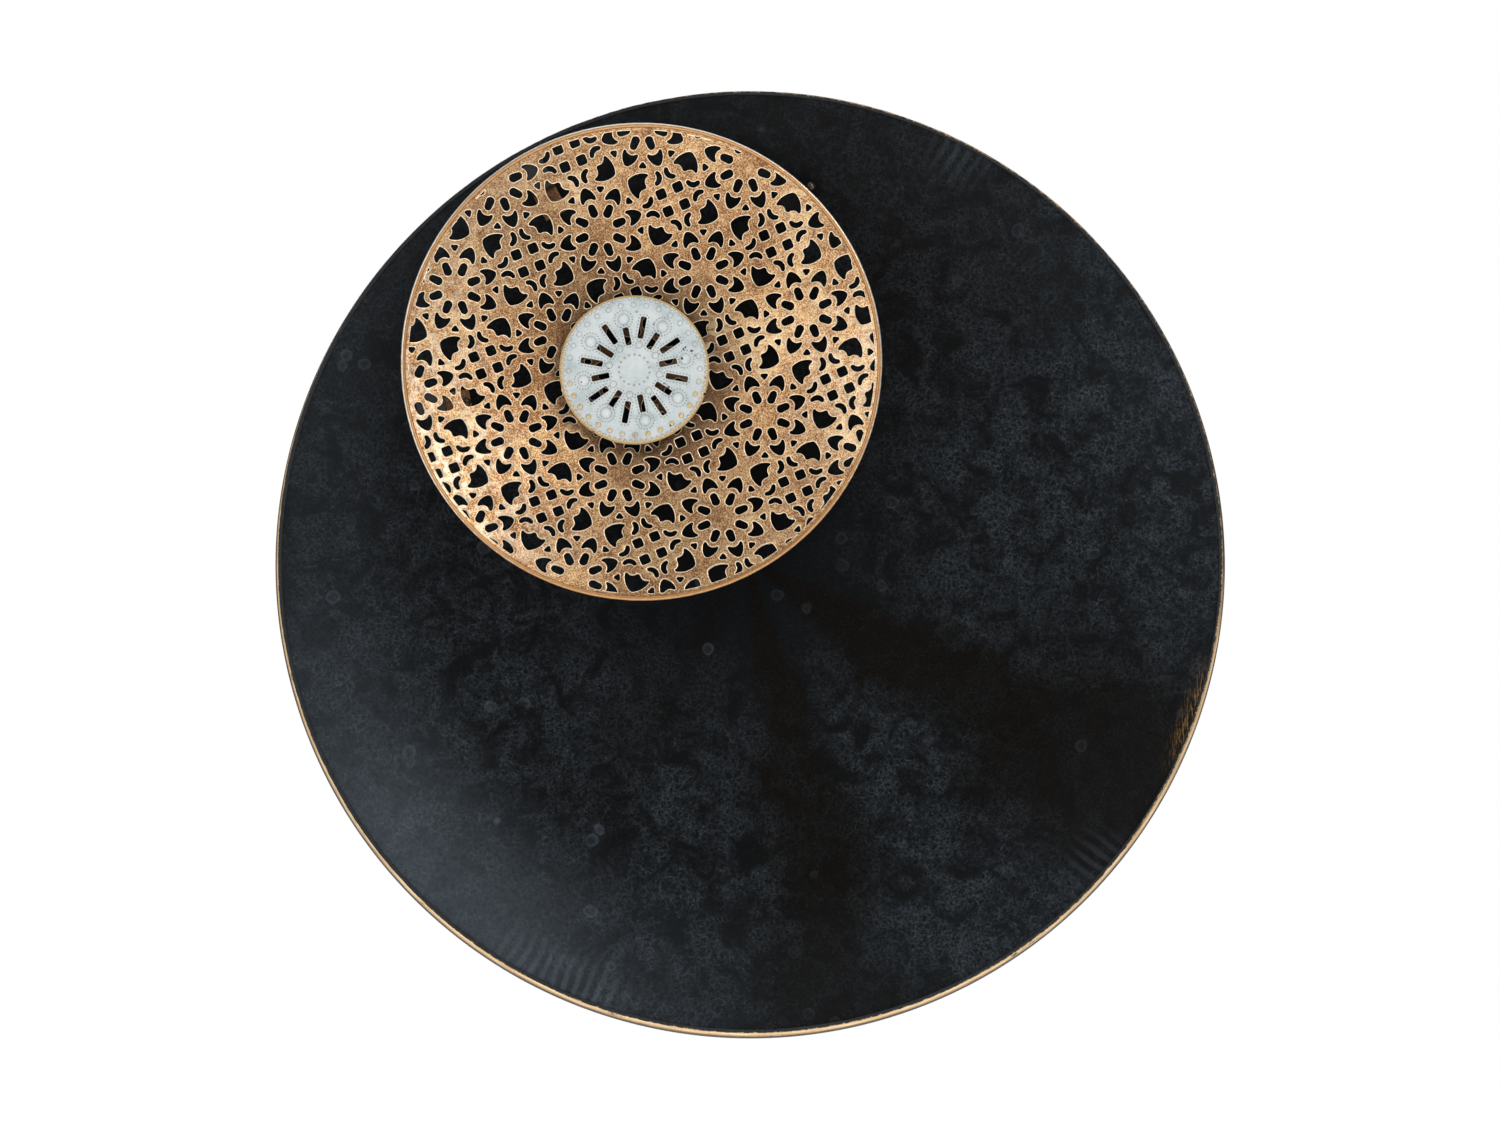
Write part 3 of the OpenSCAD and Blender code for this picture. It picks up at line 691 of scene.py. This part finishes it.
def dish_relief(points):
    """Hand-worked waves of the dish, and pleats that run in from its edge."""
    reach = np.linalg.norm(points, axis=1)
    angle = np.degrees(np.arctan2(points[:, 1], points[:, 0]))
    bent = points[:, 0] / 23 + 0.8 * np.sin(points[:, 1] / 41)
    total = 0.10 * np.sin(bent) * np.sin(points[:, 1] / 31)
    total *= np.clip((dish.edge - reach) / 12, 0, 1)
    for direction, spread, spacing, length in PLEATS:
        off = (angle - direction + 180) % 360 - 180
        group = np.exp(-((off / spread) ** 2))
        inward = np.exp(-((dish.edge - reach) / length) ** 2)
        along = np.radians(off) * dish.edge / spacing
        total += 0.50 * group * inward * np.sin(2 * math.pi * along + 1.3 * np.sin(along))
    return total


dish_fill = np.vstack([honeycomb(dish.edge - 62, 5)] + [
    circle(radius, spacing=2.2) for radius in np.arange(dish.edge - 60, dish.edge - 1, 3)])
dish_holes = [circle(STUD_HOLE_R, stud - dish.middle, 0.7)]
dish_holes += [circle(SCREW_HOLE_R, place - dish.middle, 0.5) for place in screws]
dish_piece = sheet_metal("lacquered_dish", dish, dish_holes, dish_fill, dish_relief,
                         [lacquer, lacquer, dish_back])
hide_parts("back_dish")

band_low, band_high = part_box("rim_band")
BAND_BACK_R = (band_high.x - band_low.x) / 2 / MM
BAND_FRONT = -band_low.y / MM
BAND_BACK = -band_high.y / MM
# How much narrower the band is at the front than at the back, in its radius
FLARE = 4.0
LIP_W = 2.4
LIP_T = 0.8
HEM_W = 14.0
BAND_STEPS = 1440


def band_profile():
    """The band's closed section with its corners eased, from the hem round the front."""
    front_r = BAND_BACK_R - FLARE
    outer = [(front_r + FLARE * (1 - t), BAND_BACK + t * (BAND_FRONT - BAND_BACK))
             for t in (0.04, 0.3, 0.6, 0.9, 0.98)]
    lip = [(front_r - 0.35, BAND_FRONT), (front_r - 1.2, BAND_FRONT),
           (front_r - LIP_W + 0.3, BAND_FRONT), (front_r - LIP_W, BAND_FRONT - 0.3),
           (front_r - LIP_W, BAND_FRONT - LIP_T)]
    inner = [(front_r - SHEET, BAND_FRONT - LIP_T), (BAND_BACK_R - SHEET, BAND_BACK + SHEET),
             (BAND_BACK_R - HEM_W, BAND_BACK + SHEET), (BAND_BACK_R - HEM_W, BAND_BACK)]
    return [(BAND_BACK_R - 0.4, BAND_BACK), *outer, *lip, *inner]


def band_wobble(turn, radius, out):
    """Small dents and a ragged front corner."""
    share = max(0.0, (out - BAND_BACK) / (BAND_FRONT - BAND_BACK))
    dents = 0.16 * share * waves(turn, 3, 5, 28)
    at_corner = radius > BAND_BACK_R - FLARE - 0.5 and share > 0.95
    ragged = 0.10 * waves(turn, 11, 90, 240) if at_corner else 0
    return radius - np.abs(dents + ragged), np.full_like(turn, out)


band = lathe("gilded_band", dish.middle, band_profile(), BAND_STEPS, band_wobble,
             [gilding, lip, dish_back])
# Rows of faces along the band's section that get the lip's paint and the dull back
LIP_ROWS = range(5, 10)
INNER_ROWS = range(10, 15)
band_index = np.zeros(len(band.data.polygons), dtype=np.int32)
for rows, slot_index in ((LIP_ROWS, 1), (INNER_ROWS, 2)):
    band_index[rows.start * BAND_STEPS:rows.stop * BAND_STEPS] = slot_index
band.data.polygons.foreach_set("material_index", band_index)
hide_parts("rim_band")


# ---- pierced bowl ----

# The square lattice of rosettes: its pitch, its turn in degrees and one rosette's middle
PITCH = 72.0
PATTERN_TURN = -22.1
ROSETTE = np.array([39.7, 60.6])
BORDER = 1.6
# Every hole is this much larger all round than its outline below
SWELL = 0.80
# Holes at the border under this area in square millimetres are left out
SMALLEST_HOLE = 1.2
# Holes that come nearer than this to the stud's middle are left out
STUD_ROOM = 4


# Each hole is drawn to the right of its rosette's or star's middle and turned round it later

def petal():
    return np.vstack([arc((11.5, 0), 2.2, 110, 250), arc((15.1, 0), 1.8, -70, 70)])


def crescent():
    side = arc((20, -5.2), 9.6, 36, 94.8)
    return np.vstack([arc((16.4, 0), 5.15, 57, -57), mirrored(side), side])


def wedge():
    return turned(np.array([[24.1, 0], [27.1, -2.1], [27.1, 2.1]]), 22.5)


def diamond():
    return np.array([[11.9, 0], [8.25, 3.65], [4.6, 0], [8.25, -3.65]])


def comma():
    share = np.linspace(0, 1, 20)
    angles = np.radians(100 + 122 * share)
    half = 0.6 + 0.5 * np.sin(math.pi * share)
    ray = np.column_stack([np.cos(angles), np.sin(angles)])
    middle = np.array([17, 7.25])
    outer, inner = (middle + ray * (4.2 + side * half)[:, None] for side in (1, -1))
    return np.vstack([outer, inner[::-1]])


def shield():
    side = arc((19.06, -5.02), 12.9, 24, 81.8)
    lobe = arc((17.4, 4.7), 4.6, 41, -64)
    return np.vstack([side, lobe, mirrored(lobe), mirrored(side)])


def pattern_holes(reach):
    """Outlines of all holes of the rosette lattice, cut off at a plain border."""
    rosette = [(petal(), 8), (crescent(), 8), (wedge(), 8)]
    star = [(diamond(), 4), (comma(), 4), (mirrored(comma()), 4), (shield(), 4)]
    right, up = turned(np.eye(2) * PITCH, PATTERN_TURN)
    span = range(-4, 5)
    holes = []
    for i in span:
        for j in span:
            corner = ROSETTE + i * right + j * up
            for at, group in ((corner, rosette), (corner + (right + up) / 2, star)):
                if np.linalg.norm(at) > reach + 32:
                    continue
                for corners, times in group:
                    loop = evened(corners, swell=SWELL)
                    for k in range(times):
                        holes.append(at + turned(loop, PATTERN_TURN + 360 / times * k))
    shares = [np.minimum(1, reach / np.linalg.norm(hole, axis=1))[:, None] for hole in holes]
    cut = [hole * share for hole, share in zip(holes, shares)]
    return [hole for hole in cut if area(hole) > SMALLEST_HOLE]


stud_in_bowl = stud - bowl.middle
bowl_holes = [hole for hole in pattern_holes(bowl.edge - BORDER)
              if np.linalg.norm(hole - stud_in_bowl, axis=1).min() >= STUD_ROOM]
bowl_holes.append(circle(STUD_HOLE_R, stud_in_bowl, 0.7))
pierced = sheet_metal("pierced_copper_bowl", bowl, bowl_holes, honeycomb(bowl.edge - 1, 2.6),
                      lambda points: np.zeros(len(points)),
                      [copper, cut_edge, copper_back])
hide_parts("pierced_bowl")

wire_low, wire_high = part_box("bowl_rim_wire")
WIRE_R = (wire_high.y - wire_low.y) / 2 / MM
WIRE_RING_R = (wire_high.x - wire_low.x) / 2 / MM - WIRE_R
WIRE_OUT = -(wire_high.y + wire_low.y) / 2 / MM
WIRE_STEPS = 900
WIRE_SIDES = 20


def wire_wobble(turn, radius, out):
    """Hand-beaten flats along the wire."""
    flats = 0.07 * np.abs(waves(turn, 7, 20, 70))
    share = 1 - flats / WIRE_R
    return WIRE_RING_R + (radius - WIRE_RING_R) * share, WIRE_OUT + (out - WIRE_OUT) * share


wire_section = circle(WIRE_R, (WIRE_RING_R, WIRE_OUT), 2 * math.pi * WIRE_R / WIRE_SIDES)[::-1]
wire = lathe("bowl_rim", bowl.middle, wire_section, WIRE_STEPS, wire_wobble,
             [rim_metal], sharp=60)
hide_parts("bowl_rim_wire")


# ---- boss ----

# The turn of the boss's pattern in degrees
BOSS_TURN = -10.4
SLOT_W = 3.4


def boss_ring(count, radius, turn=0.0):
    """Middles of things spread evenly round the boss."""
    angles = np.radians(BOSS_TURN + turn + 360 / count * np.arange(count))
    return radius * np.column_stack([np.cos(angles), np.sin(angles)])


def boss_slot(k, length, radius, turn):
    """The k-th of eight radial slots with its middle at that radius."""
    corners = np.array([[1, 1], [-1, 1], [-1, -1], [1, -1]]) * [length / 2, SLOT_W / 2] + [radius, 0]
    return turned(evened(corners, 0.6, 1), BOSS_TURN + turn + 45 * k)


boss_slots = [boss_slot(k, 14, 28, 0) for k in range(8)]
boss_slots += [boss_slot(k, 11.2, 22.3, 22.5) for k in range(8)]
big_domes = boss_ring(8, 33.6, 22.5)
# Domes on the boss as (middles, radius, height)
domes = [(big_domes, 3.7, 1.9), (boss_ring(8, 16.5), 2.3, 1.1), (boss_ring(32, 42.5), 1.75, 1.3),
         (boss_ring(83, 46.6), 1.25, 1.05), (boss_ring(18, 10), 0.75, 0.5)]
dots = [middle + circle(5.8, spacing=2 * math.pi * 5.8 / 19) for middle in big_domes]
dots += [evened(grown(slot, 1.5), 2.1, 0) for slot in boss_slots]
domes.append((np.vstack(dots), 0.5, 0.32))


def boss_relief(points):
    """Height of the domes, beads and dots over the boss's face, and its hammered middle."""
    in_middle = np.linalg.norm(points, axis=1) < 8
    total = 0.12 * np.sin(points[:, 0] * 1.9) * np.sin(points[:, 1] * 2.3) * in_middle
    for middles, radius, height in domes:
        tree = KDTree(len(middles))
        for k, (x, z) in enumerate(middles):
            tree.insert((x, z, 0), k)
        tree.balance()
        away = np.array([tree.find((x, z, 0))[2] for x, z in points]) / radius
        total = np.maximum(total, height * np.sqrt(np.clip(1 - away**2, 0, 1)) * (away < 1))
    return total


def dome_points():
    """Rings of points that give each dome a round outline and a smooth crown."""
    found = []
    for middles, radius, _ in domes:
        shares = (0.45, 0.8, 0.97, 1.02) if radius > 1 else (0.7, 1.02)
        unit = circle(1, spacing=2 * math.pi / round(18 * math.sqrt(radius)))
        for middle in middles:
            found.append(middle[None])
            found += [middle + share * radius * unit for share in shares]
    return np.vstack(found)


boss_fill = np.vstack([honeycomb(boss.edge - 0.6, 1.5), dome_points()])
boss_piece = sheet_metal("embossed_boss", boss, boss_slots, boss_fill, boss_relief,
                         [chalk, slot_edge, boss_back], rim=0.25, drop=0.25)
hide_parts("boss_disc")


# ---- finishes of the carried-over pieces ----

# A piece gets the finish of the first of these that its node's name starts with
FINISHES = {
    "leg_upper_right": strap_black, "leg_": strap_copper, "screw_": screw_metal,
    "washer_": zinc, "nut_": zinc, "pad_": rubber,
    "crossbar_rivet": zinc, "hanger_rivet": zinc, "crossbar": bar_paint, "hanger_strap": strap_steel,
    "hanging_ring": zinc, "boss_": zinc, "stud_": zinc, "bowl_spacer": screw_metal,
}
for name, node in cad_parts.items():
    start = next((key for key in FINISHES if name.startswith(key)), None)
    if start and not node.hide_render:
        node.data.materials.clear()
        node.data.materials.append(FINISHES[start])


# ---- floor, light and camera ----

def floor_material():
    g = Graph("pale_floor")
    paint = g.mix(g.noise(400, 2), colour(246, 246, 246), colour(252, 252, 252))
    return g.finish(Base_Color=paint, Roughness=0.9, Specular_IOR_Level=0.1, Emission_Color=(1, 1, 1, 1),
                    Emission_Strength=0.95)


FLOOR_HALF = 30.0
# The relief hangs on a wall, so the floor lies this far below it, in metres
FLOOR_DROP = 1.2
floor_z = cad_box[0].z - FLOOR_DROP
floor_corners = [(x * FLOOR_HALF, y * FLOOR_HALF, floor_z)
                 for x, y in ((-1, -1), (1, -1), (1, 1), (-1, 1))]
floor_mesh = bpy.data.meshes.new("floor")
floor_mesh.from_pydata(floor_corners, [], [(0, 1, 2, 3)])
floor_mesh.materials.append(floor_material())
floor = bpy.data.objects.new("floor", floor_mesh)
bpy.context.scene.collection.objects.link(floor)

# The camera sees a white background, and the part is lit by a weaker and cooler one
LIT_STRENGTH = 0.30
world = bpy.data.worlds.new("studio")
bpy.context.scene.world = world
world.use_nodes = True
tree = world.node_tree
tree.nodes.clear()
seen = tree.nodes.new("ShaderNodeBackground")
seen.inputs["Color"].default_value = (1, 1, 1, 1)
lit = tree.nodes.new("ShaderNodeBackground")
lit.inputs["Color"].default_value = (0.93, 0.96, 1.0, 1)
lit.inputs["Strength"].default_value = LIT_STRENGTH
path = tree.nodes.new("ShaderNodeLightPath")
choice = tree.nodes.new("ShaderNodeMixShader")
out = tree.nodes.new("ShaderNodeOutputWorld")
tree.links.new(path.outputs["Is Camera Ray"], choice.inputs[0])
tree.links.new(lit.outputs[0], choice.inputs[1])
tree.links.new(seen.outputs[0], choice.inputs[2])
tree.links.new(choice.outputs[0], out.inputs[0])

target = Vector((dish.middle[0] * MM, -BAND_FRONT * MM, dish.middle[1] * MM))


def toward(azimuth, elevation):
    """Direction from the relief to a viewer at angles in degrees, where 0, 0 is straight in front."""
    a, e = math.radians(azimuth), math.radians(elevation)
    return Vector((math.sin(a) * math.cos(e), -math.cos(a) * math.cos(e), math.sin(e)))


def softbox(name, azimuth, elevation, distance, size, power, tint=(1, 1, 1)):
    """A square area light that faces the relief, with sizes in metres and power in watts."""
    light = bpy.data.lights.new(name, "AREA")
    light.size = size
    light.energy = power
    light.color = tint
    lamp = bpy.data.objects.new(name, light)
    away = toward(azimuth, elevation)
    lamp.location = target + distance * away
    lamp.rotation_euler = (-away).to_track_quat("-Z", "Y").to_euler()
    bpy.context.scene.collection.objects.link(lamp)


softbox("key", 38, 34, 2.6, 1.2, 25, (1.0, 0.98, 0.95))
softbox("fill", -52, 18, 2.8, 1.5, 16)
softbox("top", 0, 72, 2.4, 1.6, 8)
softbox("rear", 180, 30, 3.0, 2.0, 30)

# The view across the plate's front is 1500 steps of this many millimetres
FRAME_W = 1500
STEP_AT_FRONT = 0.6472
DISTANCE = 3.0
AZIMUTH = -0.4
ELEVATION = -4.6
# The camera aims beside the plate's middle by these steps
AIM_STEPS = Vector((-0.8, 0, -4.2))
camera_data = bpy.data.cameras.new("camera")
camera_data.sensor_width = 36
camera_data.lens = camera_data.sensor_width * DISTANCE / (FRAME_W * STEP_AT_FRONT * MM)
camera = bpy.data.objects.new("camera", camera_data)
away = toward(AZIMUTH, ELEVATION)
aim = target + AIM_STEPS * STEP_AT_FRONT * MM
camera.location = aim + DISTANCE * away
camera.rotation_mode = "QUATERNION"
camera.rotation_quaternion = (-away).to_track_quat("-Z", "Y")
bpy.context.scene.collection.objects.link(camera)
bpy.context.scene.camera = camera
bpy.context.scene.view_settings.view_transform = "Standard"
